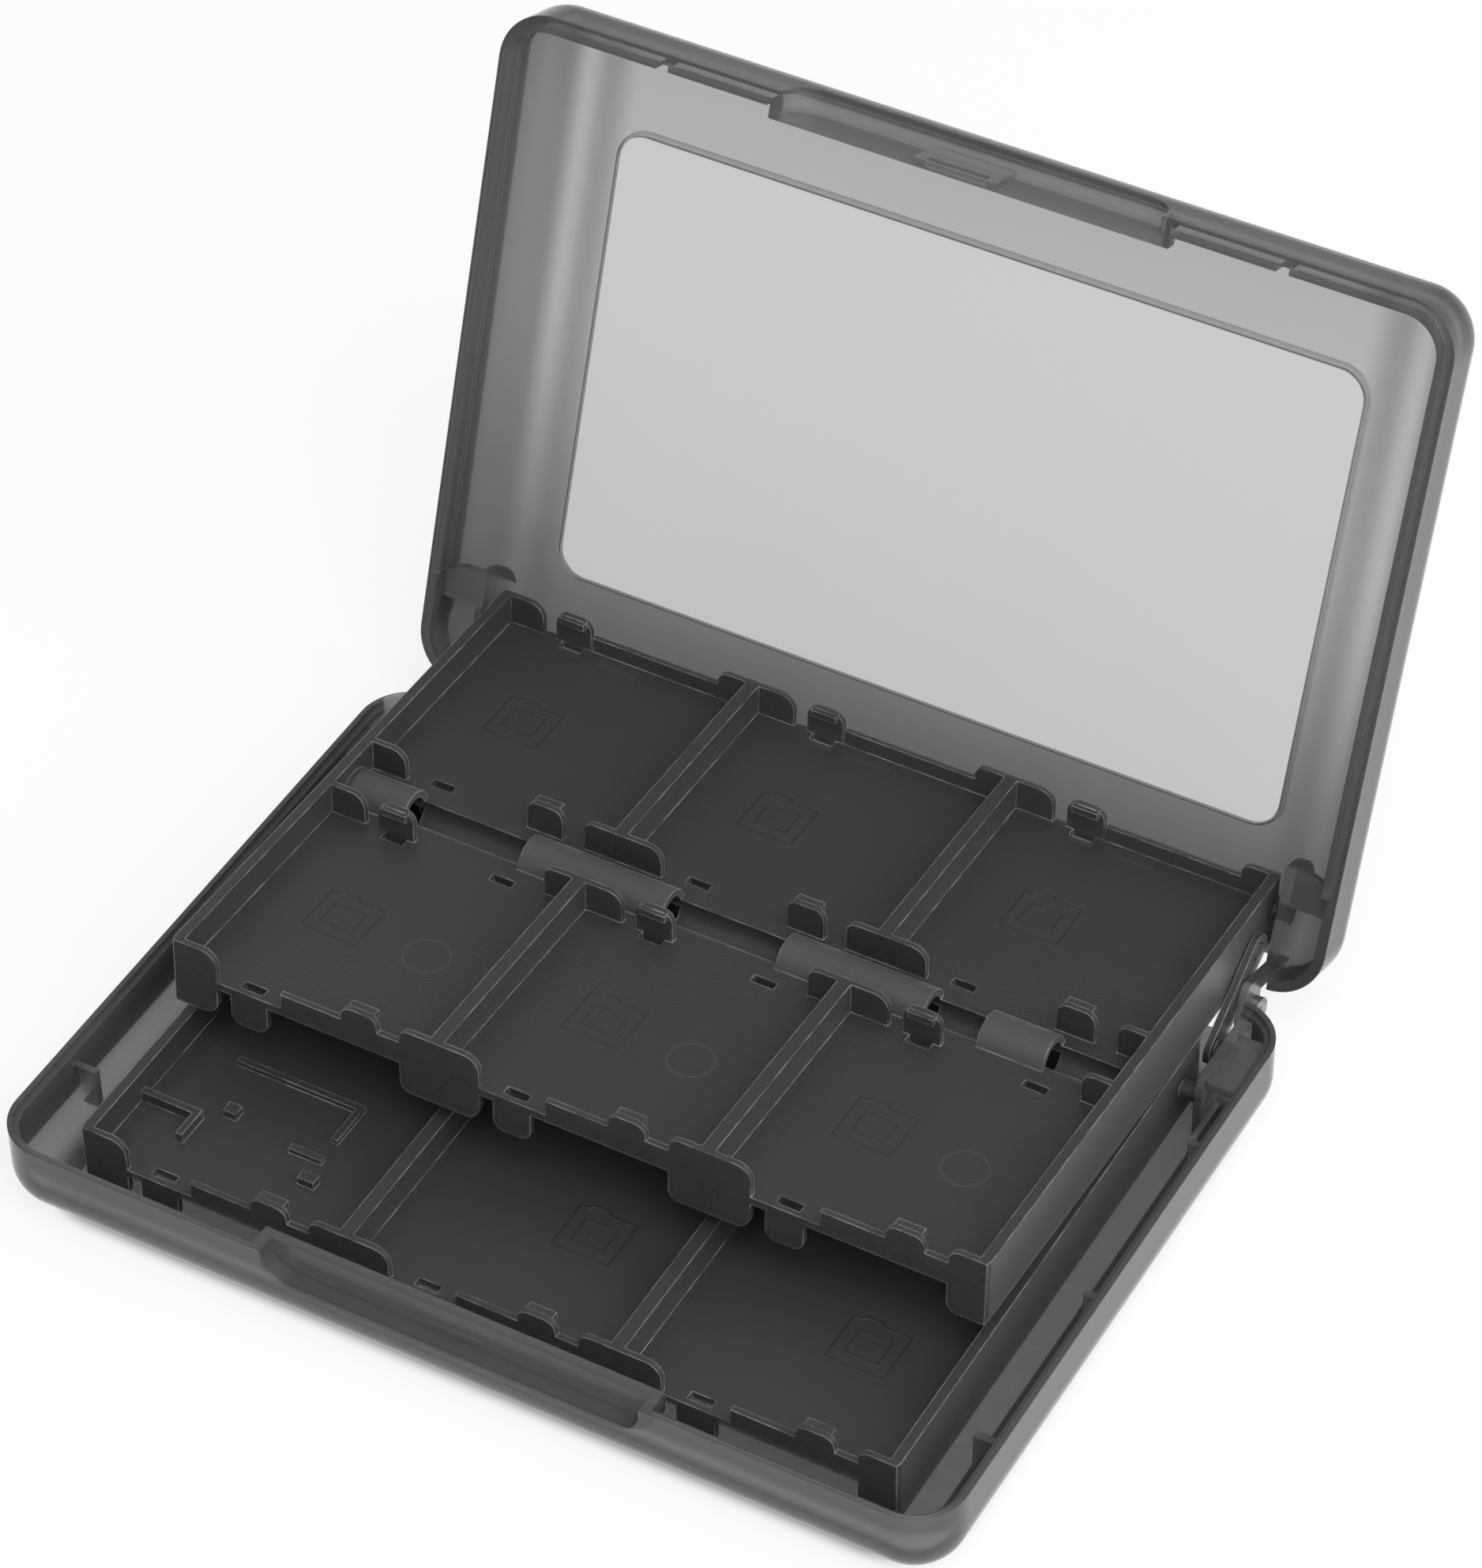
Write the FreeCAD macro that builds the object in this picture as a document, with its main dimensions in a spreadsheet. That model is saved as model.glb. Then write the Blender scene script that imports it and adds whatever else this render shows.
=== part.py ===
import FreeCAD, Part
import math
import os
import re
import Sketcher

# Game card storage case: a clamshell of two moulded shells with two card trays inside.
# Millimetres. X runs along the hinge, Y to the rear, Z up. The origin is the middle of the
# base's bottom face. The shells, the trays and the swing links are drawn as if the case were
# shut, and the moving ones are then turned to the open pose, which is the pose at rest.

SIZES = (
    ("case_width", 140.0, "outer size along the hinge"),
    ("case_depth", 100.3, "outer size from front to rear"),
    ("base_height", 13.0, "lower shell, bottom face to rim"),
    ("lid_height", 12.6, "upper shell, top face to rim"),
    ("wall", 1.5, "wall of both shells"),
    ("corner_radius", 7.4, "upright corners of both shells"),
    ("edge_radius", 6.8, "rounding of the bottom and top edges"),
    ("lip_width", 0.75, "part of the wall that the lip joint takes"),
    ("lip_height", 0.8, "height of the lip joint"),
    ("lip_thick", 1.3, "tongue of the lip joint on the upper shell"),
    ("lip_root", 2.4, "tongue of the lip joint below the rim of the upper shell"),
    ("lip_gap", 0.1, "clearance in the lip joint"),
    ("lip_end", 34.0, "distance from the middle to where the side lips end"),
    ("lip_break", 45.4, "break in the front lip from the middle of the case"),
    ("lip_break_width", 1.8, "break in the front lip"),
    ("recess_width", 55.6, "finger recess in the front of each shell"),
    ("recess_drop", 5.0, "depth of the finger recess below the rim"),
    ("recess_depth", 2.6, "how far the finger recess is set back"),
    ("recess_radius", 3.8, "lower corners of the finger recess"),
    ("base_sill", 5.9, "rear wall of the lower shell between the hinge plates"),
    ("lid_sill", 4.0, "rear wall of the upper shell between the hinge plates"),
    ("hinge_overhang", 1.95, "hinge axis behind the rear face"),
    ("hinge_drop", 4.0, "hinge axis below the rim of the lower shell"),
    ("ear_radius", 2.6, "hinge ears round the hinge axis"),
    ("pin_radius", 1.3, "hinge pegs and tray pegs"),
    ("pin_gap", 0.05, "radial clearance of a peg in its hole"),
    ("side_gap", 0.2, "clearance between tray, link and plates"),
    ("link_thick", 1.0, "swing link"),
    ("link_radius", 2.4, "rounded ends and half width of the swing link"),
    ("link_peg_radius", 1.1, "tray peg that the swing link takes"),
    ("link_hole_gap", 0.35, "radial play of the swing link on its tray peg"),
    ("link_pivot_height", 8.15, "pivot of the swing link above the bottom face"),
    ("plate_thick", 1.1, "hinge plates of both shells"),
    ("plate_length", 14.0, "hinge plates of the lower shell, from front edge to rear wall"),
    ("lid_plate_length", 16.0, "hinge plates of the upper shell, from front edge to rear wall"),
    ("shelf_front", 35.6, "front edge of the lower shell's corner shelves from the middle"),
    ("shelf_length", 10.0, "lower shell's corner shelves from front to rear"),
    ("lid_shelf_front", 32.7, "front edge of the upper shell's corner shelves from the middle"),
    ("lid_shelf_length", 5.4, "upper shell's corner shelves from front to rear"),
    ("lid_shelf_arch", 4.6, "rounding of the upper shell's corner shelves"),
    ("lid_plate_round", 8.0, "rounding of the upper shell's hinge plates towards the lid face"),
    ("guide_reach", 2.0, "tray guides inside the lower shell, from the wall"),
    ("front_guide_reach", 3.4, "foremost tray guides, from the wall"),
    ("guide_front", 31.5, "foremost tray guides, in front of the middle"),
    ("guide_middle", 4.0, "next tray guides, in front of the middle"),
    ("guide_rear", 26.0, "rear tray guides, behind the middle"),
    ("guide_foot", 4.0, "tray guides, lower ends above the bottom face"),
    ("guide_thick", 1.0, "tray guides inside the lower shell"),
    ("guide_drop", 2.6, "tray guides below the rim"),
    ("shelf_thick", 1.3, "corner shelves"),
    ("shelf_drop", 1.6, "corner shelves below the rim"),
    ("open_angle", 108.7, "swing of the lid"),
    ("tray_tilt", 3.1, "slope of the upper tray when the lid is open"),
    ("tray_width", 120.4, "both trays along the hinge"),
    ("tray_length", 85.0, "both trays from front to rear"),
    ("tray_height", 10.6, "both trays"),
    ("tray_gap", 0.3, "clearance of the upper tray over the rim plane"),
    ("floor_gap", 0.3, "clearance of the lower tray over the floor"),
    ("tray_wall", 1.5, "side walls of a tray"),
    ("tray_edge", 0.9, "low walls and tabs at the front and rear of a tray"),
    ("web", 1.2, "floor of the cells, at half the height of a tray"),
    ("divider", 2.0, "walls between the cells"),
    ("cell_pitch", 40.0, "spacing of the cells along the hinge"),
    ("spine_half", 4.8, "half width of the strip that holds the stylus tube"),
    ("low_wall", 2.4, "low walls above the cell floor"),
    ("thin_spot", 0.6, "depth of the thin spots under the cell floor"),
    ("tube_radius", 3.4, "stylus tube outside"),
    ("bore_radius", 2.4, "stylus tube inside"),
    ("card_rib", 0.8, "ribs for a memory card on a cell floor"),
    ("corner_tab", 6.6, "tabs at the left end of each cell"),
    ("long_tab", 5.4, "tabs at the right end of each cell"),
    ("clip_width", 5.6, "spring tabs that hold a card"),
    ("clip_offset", 8.5, "spring tabs from the middle of a cell"),
    ("clip_hook", 0.7, "overhang of a spring tab over the card"),
    ("clip_head", 1.2, "height of the overhang of a spring tab"),
    ("slot_length", 3.4, "moulding slots under the spring tabs"),
    ("slot_width", 1.3, "moulding slots under the spring tabs"),
    ("tray_peg_setback", 1.23, "tray pivot from the rear edge of the tray"),
    ("tray_peg_drop", 0.33, "tray pivot below the middle of the tray"),
    ("link_peg_setback", 8.6, "link peg from the rear edge of the tray"),
    ("link_peg_drop", 1.4, "link peg below the middle of the tray"),
    ("lower_peg_setback", 5.5, "pegs of the lower tray from its rear edge"),
    ("lug_radius", 2.2, "lugs round the tray pivots"),
    ("window_width", 111.5, "clear window along the hinge"),
    ("window_height", 66.5, "clear window across the lid"),
    ("window_radius", 4.0, "corners of the window"),
    ("window_flange", 0.5, "flange round the window pane"),
    ("window_gap", 0.05, "clearance round the window pane"),
    ("catch_width", 8.0, "catch on the front of the lower shell"),
    ("catch_height", 0.8, "catch on the front of the lower shell"),
    ("catch_depth", 0.4, "catch on the front of the lower shell"),
    ("tongue_width", 12.0, "latch tongue of the upper shell"),
    ("tongue_length", 4.3, "latch tongue below the rim plane"),
    ("tongue_thick", 0.8, "latch tongue"),
    ("tongue_gap", 0.15, "clearance between the tongue and the catch"),
    ("corner_round", 0.35, "rounding of a corner tab, as a share of its width"),
    ("tab_round", 0.3, "rounding of the other tabs, as a share of their width"),
    ("head_half", 0.35, "half of a spring tab's overhang, as a share of its width"),
    ("head_drop", 0.1, "top of the overhang below the tab's top, as a share of its height"),
    ("end_round", 0.98, "rounding of ears and links, as a share of their half width"),
    ("plan_round", 0.6, "rounding of thin walls seen from above, as a share of their thickness"),
    ("heel", 2.1, "upper hinge plates' heel from the rear face, in wall thicknesses"),
)

doc = FreeCAD.newDocument("game_card_case")
sheet = doc.addObject("Spreadsheet::Sheet", "Sizes")
for row, (alias, number, note) in enumerate(SIZES, start=1):
    sheet.set("A%d" % row, note)
    sheet.set("B%d" % row, str(number))
    sheet.setAlias("B%d" % row, alias)
doc.recompute()

ALIASES = set(alias for alias, number, note in SIZES)

# Planes across the case, from the tray side outwards: swing link, lid plate, base plate.
LINK_IN = "(tray_width / 2 + side_gap)"
LINK_OUT = "(tray_width / 2 + side_gap + link_thick)"
LID_PLATE_IN = "(tray_width / 2 + 2 * side_gap + link_thick)"
LID_PLATE_OUT = "(tray_width / 2 + 2 * side_gap + link_thick + plate_thick)"
BASE_PLATE_IN = "(tray_width / 2 + 3 * side_gap + link_thick + plate_thick)"
BASE_PLATE_OUT = "(tray_width / 2 + 3 * side_gap + link_thick + 2 * plate_thick)"
REAR = "(case_depth / 2)"
HINGE_Y = "(case_depth / 2 + hinge_overhang)"
HINGE_Z = "(base_height - hinge_drop)"

# A side of an outline is level when this much of a step along it goes across.
LEVEL_SHARE = 0.5


def bind(text):
    """Puts the sheet's name before each alias of a formula."""
    return re.sub(r"[a-z]\w*", lambda m: "Sizes." + m.group(0) if m.group(0) in ALIASES else m.group(0), text)


def value(text):
    """Works out a formula from the sheet's values."""
    return float(sheet.evalExpression(bind(text)))


def new_body(name):
    body = doc.addObject("PartDesign::Body", name)
    body.Label = name
    return body


def new_sketch(body, name, role, offset):
    """A sketch on one of the body's own planes, moved along the plane's normal."""
    sketch = body.newObject("Sketcher::SketchObject", name)
    for feature in body.Origin.OriginFeatures:
        if feature.Role == role:
            sketch.AttachmentSupport = [(feature, "")]
    sketch.MapMode = "FlatFace"
    sketch.setExpression("AttachmentOffset.Base.z", bind(offset))
    return sketch


def constrain(sketch, kind, items, text):
    index = sketch.addConstraint(Sketcher.Constraint(kind, *items, value(text)))
    sketch.setExpression("Constraints[%d]" % index, bind(text))


def outline(sketch, corners, radii=None):
    """A closed outline of upright and level lines, with an arc at each corner that has a radius."""
    radii = radii or {}
    count = len(corners)
    points = [FreeCAD.Vector(value(x), value(y), 0) for x, y in corners]
    steps = [(points[(i + 1) % count] - points[i]).normalize() for i in range(count)]
    sizes = [value(radii[i]) if i in radii else 0.0 for i in range(count)]
    lines = []
    for i in range(count):
        after = (i + 1) % count
        start = points[i] + steps[i] * sizes[i]
        end = points[after] - steps[i] * sizes[after]
        lines.append(sketch.addGeometry(Part.LineSegment(start, end)))
    for i in range(count):
        if abs(steps[i].x) > LEVEL_SHARE:
            sketch.addConstraint(Sketcher.Constraint("Horizontal", lines[i]))
            constrain(sketch, "DistanceY", (-1, 1, lines[i], 1), corners[i][1])
        else:
            sketch.addConstraint(Sketcher.Constraint("Vertical", lines[i]))
            constrain(sketch, "DistanceX", (-1, 1, lines[i], 1), corners[i][0])
    for i in range(count):
        before = lines[i - 1]
        if i not in radii:
            sketch.addConstraint(Sketcher.Constraint("Coincident", before, 2, lines[i], 1))
            continue
        arrive = steps[i - 1]
        leave = steps[i]
        centre = points[i] - arrive * sizes[i] + leave * sizes[i]
        from_centre = points[i] - arrive * sizes[i] - centre
        to_centre = points[i] + leave * sizes[i] - centre
        left_turn = arrive.x * leave.y - arrive.y * leave.x > 0
        first, second = (from_centre, to_centre) if left_turn else (to_centre, from_centre)
        start_angle = math.atan2(first.y, first.x)
        end_angle = math.atan2(second.y, second.x)
        if end_angle < start_angle:
            end_angle += 2 * math.pi
        circle = Part.Circle(centre, FreeCAD.Vector(0, 0, 1), sizes[i])
        arc = sketch.addGeometry(Part.ArcOfCircle(circle, start_angle, end_angle))
        arc_in, arc_out = (1, 2) if left_turn else (2, 1)
        sketch.addConstraint(Sketcher.Constraint("Tangent", before, 2, arc, arc_in))
        sketch.addConstraint(Sketcher.Constraint("Tangent", arc, arc_out, lines[i], 1))
        constrain(sketch, "Radius", (arc,), radii[i])


def rectangle(x0, y0, x1, y1):
    return [(x0, y0), (x1, y0), (x1, y1), (x0, y1)]


def pad(body, sketch, name, length, midplane=False, reverse=False):
    feature = body.newObject("PartDesign::Pad", name)
    feature.Profile = sketch
    feature.setExpression("Length", bind(length))
    feature.Midplane = midplane
    feature.Reversed = reverse
    doc.recompute()
    return feature


def pocket(body, sketch, name, length, reverse=False):
    """Cuts a sketch into the body and makes sure that it removes something."""
    before = body.Shape.Volume
    feature = body.newObject("PartDesign::Pocket", name)
    feature.Profile = sketch
    feature.setExpression("Length", bind(length))
    feature.Reversed = reverse
    doc.recompute()
    if body.Shape.Volume >= before:
        raise RuntimeError(name + " cuts nothing")
    return feature


def primitive(body, kind, name, origin, **sizes):
    """A PartDesign box or cylinder with its corner or foot at origin, all bound to the sheet."""
    feature = body.newObject("PartDesign::" + kind, name)
    if "Cylinder" in kind:
        feature.Placement = FreeCAD.Placement(FreeCAD.Vector(), FreeCAD.Rotation(FreeCAD.Vector(0, 1, 0), 90))
    for key, text in sizes.items():
        feature.setExpression(key, bind(text))
    for axis, text in zip("xyz", origin):
        feature.setExpression("Placement.Base." + axis, bind(text))
    doc.recompute()
    return feature


def level_edges(shape, height):
    """Names of the edges that lie in one level plane."""
    names = []
    for index, edge in enumerate(shape.Edges, start=1):
        if all(abs(vertex.Z - height) < 1e-6 for vertex in edge.Vertexes):
            names.append("Edge%d" % index)
    return names


def fillet(body, base, name, edges, radius):
    feature = body.newObject("PartDesign::Fillet", name)
    feature.Base = (base, edges)
    feature.setExpression("Radius", bind(radius))
    doc.recompute()
    return feature


def rounded(half_x, half_y):
    return rectangle("-" + half_x, "-" + half_y, half_x, half_y)


def side_strip(side, inner, outer):
    """Low and high X of a strip between two distances from the middle, on either side."""
    if side > 0:
        return inner, outer
    return "-" + outer, "-" + inner


def shell(name, height):
    """A tray-shaped shell, mouth up: rounded box, hollowed, with rounded bottom edges."""
    body = new_body(name)
    sketch = new_sketch(body, name + "_plan", "XY_Plane", "0")
    outline(sketch, rounded("(case_width / 2)", REAR), {i: "corner_radius" for i in range(4)})
    pad(body, sketch, name + "_block", height)
    sketch = new_sketch(body, name + "_hollow_plan", "XY_Plane", height)
    outline(sketch, rounded("(case_width / 2 - wall)", "(case_depth / 2 - wall)"),
            {i: "corner_radius - wall" for i in range(4)})
    hollow = pocket(body, sketch, name + "_hollow", height + " - wall")
    inside = fillet(body, hollow, name + "_floor_edge", level_edges(hollow.Shape, value("wall")),
                    "edge_radius - wall")
    fillet(body, inside, name + "_edge", level_edges(inside.Shape, 0.0), "edge_radius")
    return body


def finger_recess(body, name, height):
    """Sets the middle of the front wall back, so that a thumb finds the other shell's rim."""
    edge = "(recess_width / 2 + wall)"
    sketch = new_sketch(body, name + "_bulge_face", "XZ_Plane", "case_depth / 2 - wall / 2")
    outline(sketch, rectangle("-" + edge, height + " - recess_drop - wall", edge, height),
            {0: "recess_radius + wall", 1: "recess_radius + wall"})
    pad(body, sketch, name + "_bulge", "recess_depth + wall / 2", reverse=True)
    sketch = new_sketch(body, name + "_recess_face", "XZ_Plane", REAR)
    outline(sketch, rectangle("-recess_width / 2", height + " - recess_drop",
                              "recess_width / 2", height + " + wall"),
            {0: "recess_radius", 1: "recess_radius"})
    pocket(body, sketch, name + "_recess", "recess_depth")


def rear_opening(body, name, height, sill):
    """Lowers the rear wall between the hinge plates, where the tray and its links swing out."""
    sketch = new_sketch(body, name + "_rear_plan", "XY_Plane", height)
    outline(sketch, rectangle("-" + BASE_PLATE_IN, REAR + " - 2 * wall", BASE_PLATE_IN, REAR + " + wall"))
    pocket(body, sketch, name + "_rear_opening", height + " - " + sill)


def round_cut(body, name, x0, x1, y, z, radius):
    before = body.Shape.Volume
    primitive(body, "SubtractiveCylinder", name, (x0, y, z), Radius=radius, Height=x1 + " - (" + x0 + ")")
    if body.Shape.Volume >= before:
        raise RuntimeError(name + " cuts nothing")


def round_add(body, name, x0, x1, y, z, radius):
    primitive(body, "AdditiveCylinder", name, (x0, y, z), Radius=radius, Height=x1 + " - (" + x0 + ")")


def corner_shelf(body, name, side, height, plate, front, length, arch):
    """A level shelf between a hinge plate and the side wall, below the rim, with an arched front corner."""
    x0, x1 = side_strip(side, plate, "(case_width / 2 - wall / 2)")
    sketch = new_sketch(body, name + "_plan", "XY_Plane", height + " - shelf_drop")
    outline(sketch, rectangle(x0, front, x1, front + " + " + length), {1 if side > 0 else 0: arch})
    pad(body, sketch, name, "shelf_thick", reverse=True)


# Pivots of the upper tray and of the swing links, in the closed case.
TRAY_PEG_Y = "(tray_length / 2 - tray_peg_setback)"
LINK_PEG_Y = "(tray_length / 2 - link_peg_setback)"
LOWER_PEG_Y = "(tray_length / 2 - lower_peg_setback)"
UPPER_MIDDLE = "(base_height + tray_gap + tray_height / 2)"
LOWER_MIDDLE = "(wall + floor_gap + tray_height / 2)"
TRAY_PEG_Z = "(base_height + tray_gap + tray_height / 2 - tray_peg_drop)"
LINK_PEG_Z = "(base_height + tray_gap + tray_height / 2 - link_peg_drop)"
CASE_HEIGHT = "(base_height + lid_height)"


class Spot:
    """A point in the plane across the hinge."""

    def __init__(self, y, z):
        self.y = y
        self.z = z

    def turned(self, centre, degrees):
        """The point after a turn about the hinge direction, rear side up for a positive turn."""
        cosine = math.cos(math.radians(degrees))
        sine = math.sin(math.radians(degrees))
        dy = self.y - centre.y
        dz = self.z - centre.z
        return Spot(centre.y + dy * cosine - dz * sine, centre.z + dy * sine + dz * cosine)

    def distance(self, other):
        return math.hypot(self.y - other.y, self.z - other.z)

    def direction(self, other):
        return math.degrees(math.atan2(other.z - self.z, other.y - self.y))


def placed(spot, degrees):
    """Placement that turns a piece about X and moves its own origin to a spot."""
    turn = FreeCAD.Rotation(FreeCAD.Vector(1, 0, 0), degrees)
    return FreeCAD.Placement(FreeCAD.Vector(0, spot.y, spot.z), turn)


hinge = Spot(value(HINGE_Y), value(HINGE_Z))
tray_peg_shut = Spot(value(TRAY_PEG_Y), value(TRAY_PEG_Z))
tray_peg_open = tray_peg_shut.turned(hinge, -value("open_angle"))
link_peg_shut = Spot(value(LINK_PEG_Y), value(LINK_PEG_Z))
peg_step = Spot(link_peg_shut.y - tray_peg_shut.y, link_peg_shut.z - tray_peg_shut.z)
step_open = peg_step.turned(Spot(0, 0), -value("tray_tilt"))
link_peg_open = Spot(tray_peg_open.y + step_open.y, tray_peg_open.z + step_open.z)

# The link's pivot lies at equal distances from the link peg when shut and when open.
middle = Spot((link_peg_shut.y + link_peg_open.y) / 2, (link_peg_shut.z + link_peg_open.z) / 2)
rise = (link_peg_open.z - link_peg_shut.z) / (link_peg_open.y - link_peg_shut.y)
pivot_z = value("link_pivot_height")
link_pivot = Spot(middle.y - (pivot_z - middle.z) * rise, pivot_z)
link_length = link_pivot.distance(link_peg_open)
link_angle_open = link_pivot.direction(link_peg_open)

row = len(SIZES) + 2
for alias, number in (("link_pivot_y", link_pivot.y), ("link_length", link_length)):
    sheet.set("A%d" % row, "worked out from the swing of the tray")
    sheet.set("B%d" % row, repr(number))
    sheet.setAlias("B%d" % row, alias)
    ALIASES.add(alias)
    row += 1
doc.recompute()


def base_plate(body, side):
    """Hinge plate of the lower shell: it carries the hinge ear, the link pivot and the tray peg."""
    tag = "base_plate_right" if side > 0 else "base_plate_left"
    x0, x1 = side_strip(side, BASE_PLATE_IN, BASE_PLATE_OUT)
    rear = HINGE_Y + " + ear_radius"
    low = HINGE_Z + " - ear_radius"
    high = HINGE_Z + " + ear_radius"
    front = REAR + " - wall - plate_length"
    sketch = new_sketch(body, tag + "_face", "YZ_Plane", x0)
    outline(sketch, [(front, "wall / 2"), (REAR + " - wall / 2", "wall / 2"), (REAR + " - wall / 2", low),
                     (rear, low), (rear, high), (front, high)],
            {1: "edge_radius - wall", 3: "ear_radius * end_round", 4: "ear_radius * end_round", 5: "ear_radius"})
    pad(body, sketch, tag, "plate_thick")
    gap = "pin_radius + pin_gap"
    margin = "side_gap"
    cut0 = x0 + " - " + margin
    cut1 = x1 + " + " + margin
    round_cut(body, tag + "_hinge_hole", cut0, cut1, HINGE_Y, HINGE_Z, gap)
    round_cut(body, tag + "_link_hole", cut0, cut1, "link_pivot_y", "link_pivot_height", gap)
    round_cut(body, tag + "_tray_hole", cut0, cut1, LOWER_PEG_Y, LOWER_MIDDLE, gap)


def make_base():
    body = shell("base_shell", "base_height")
    inset = "lip_width"
    sketch = new_sketch(body, "base_rebate_plan", "XY_Plane", "base_height")
    outline(sketch, rounded("(case_width / 2 - %s)" % inset, "(case_depth / 2 - %s)" % inset),
            {i: "corner_radius - " + inset for i in range(4)})
    pocket(body, sketch, "base_rebate", "lip_height + lip_gap / 2")
    finger_recess(body, "base", "base_height")
    rear_opening(body, "base", "base_height", "base_sill")
    for side in (-1, 1):
        base_plate(body, side)
        tag = "base_shelf_right" if side > 0 else "base_shelf_left"
        corner_shelf(body, tag, side, "base_height", BASE_PLATE_OUT, "shelf_front", "shelf_length", "wall")
    inner = "(case_width / 2 - wall / 2)"
    sketch = new_sketch(body, "guide_plan", "XY_Plane", "guide_foot")
    for y, reach in (("-guide_front", "front_guide_reach"), ("-guide_middle", "guide_reach"),
                     ("guide_rear", "guide_reach")):
        foot = "(case_width / 2 - wall - %s)" % reach
        outline(sketch, rectangle("-" + inner, y + " - guide_thick / 2", "-" + foot, y + " + guide_thick / 2"))
        outline(sketch, rectangle(foot, y + " - guide_thick / 2", inner, y + " + guide_thick / 2"))
    pad(body, sketch, "guides", "base_height - guide_drop - guide_foot")
    back = "-case_depth / 2 + recess_depth"
    primitive(body, "AdditiveBox", "catch",
              ("-catch_width / 2", back + " - catch_depth", "base_height - tongue_length + catch_height"),
              Length="catch_width", Width="catch_depth + wall / 2", Height="catch_height")
    return body


def lid_plate(body, side):
    """Hinge plate of the upper shell: it carries the hinge peg and the tray pivot hole."""
    tag = "lid_plate_right" if side > 0 else "lid_plate_left"
    x0, x1 = side_strip(side, LID_PLATE_IN, LID_PLATE_OUT)
    rear = HINGE_Y + " + ear_radius"
    axis = "(lid_height + hinge_drop)"
    front = REAR + " - wall - lid_plate_length"
    inner = "(case_depth / 2 - heel * wall)"
    sketch = new_sketch(body, tag + "_face", "YZ_Plane", x0)
    outline(sketch, [(front, "wall / 2"), (REAR + " - wall / 2", "wall / 2"),
                     (REAR + " - wall / 2", axis + " - ear_radius"), (rear, axis + " - ear_radius"),
                     (rear, axis + " + ear_radius"), (inner, axis + " + ear_radius"),
                     (inner, "lid_height - shelf_drop"), (front, "lid_height - shelf_drop")],
            {0: "lid_plate_round", 1: "edge_radius - wall", 3: "ear_radius * end_round",
             4: "ear_radius * end_round", 5: "wall", 7: "wall * plan_round"})
    pad(body, sketch, tag, "plate_thick")
    peg0, peg1 = side_strip(side, LID_PLATE_IN, BASE_PLATE_OUT)
    round_add(body, tag + "_hinge_peg", peg0, peg1, HINGE_Y, axis, "pin_radius")
    round_cut(body, tag + "_tray_hole", x0 + " - side_gap", x1 + " + side_gap", TRAY_PEG_Y,
              CASE_HEIGHT + " - " + TRAY_PEG_Z, "pin_radius + pin_gap")


def lip_breaks(body, name, margin, length, upward):
    """Takes the lid's lip away at the rear, at the finger recess and at two breaks in the front."""
    half_x = "(case_width / 2 - %s)" % margin
    front = "(-case_depth / 2 + %s)" % margin
    rear = "(case_depth / 2 - %s)" % margin
    inner = "(-case_depth / 2 + lip_width + lip_gap + lip_thick + lip_gap)"
    edge = "(recess_width / 2 + wall + lip_gap)"
    sketch = new_sketch(body, name + "_plan", "XY_Plane", "lid_height")
    corner = "corner_radius - " + margin
    outline(sketch, rectangle("-" + half_x, "lip_end", half_x, rear), {2: corner, 3: corner})
    outline(sketch, rectangle("-" + edge, front, edge, inner))
    for middle_x in ("-lip_break", "lip_break"):
        outline(sketch, rectangle("(%s - lip_break_width / 2)" % middle_x, front,
                                  "(%s + lip_break_width / 2)" % middle_x, inner))
    pocket(body, sketch, name + "_breaks", length, reverse=upward)


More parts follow.
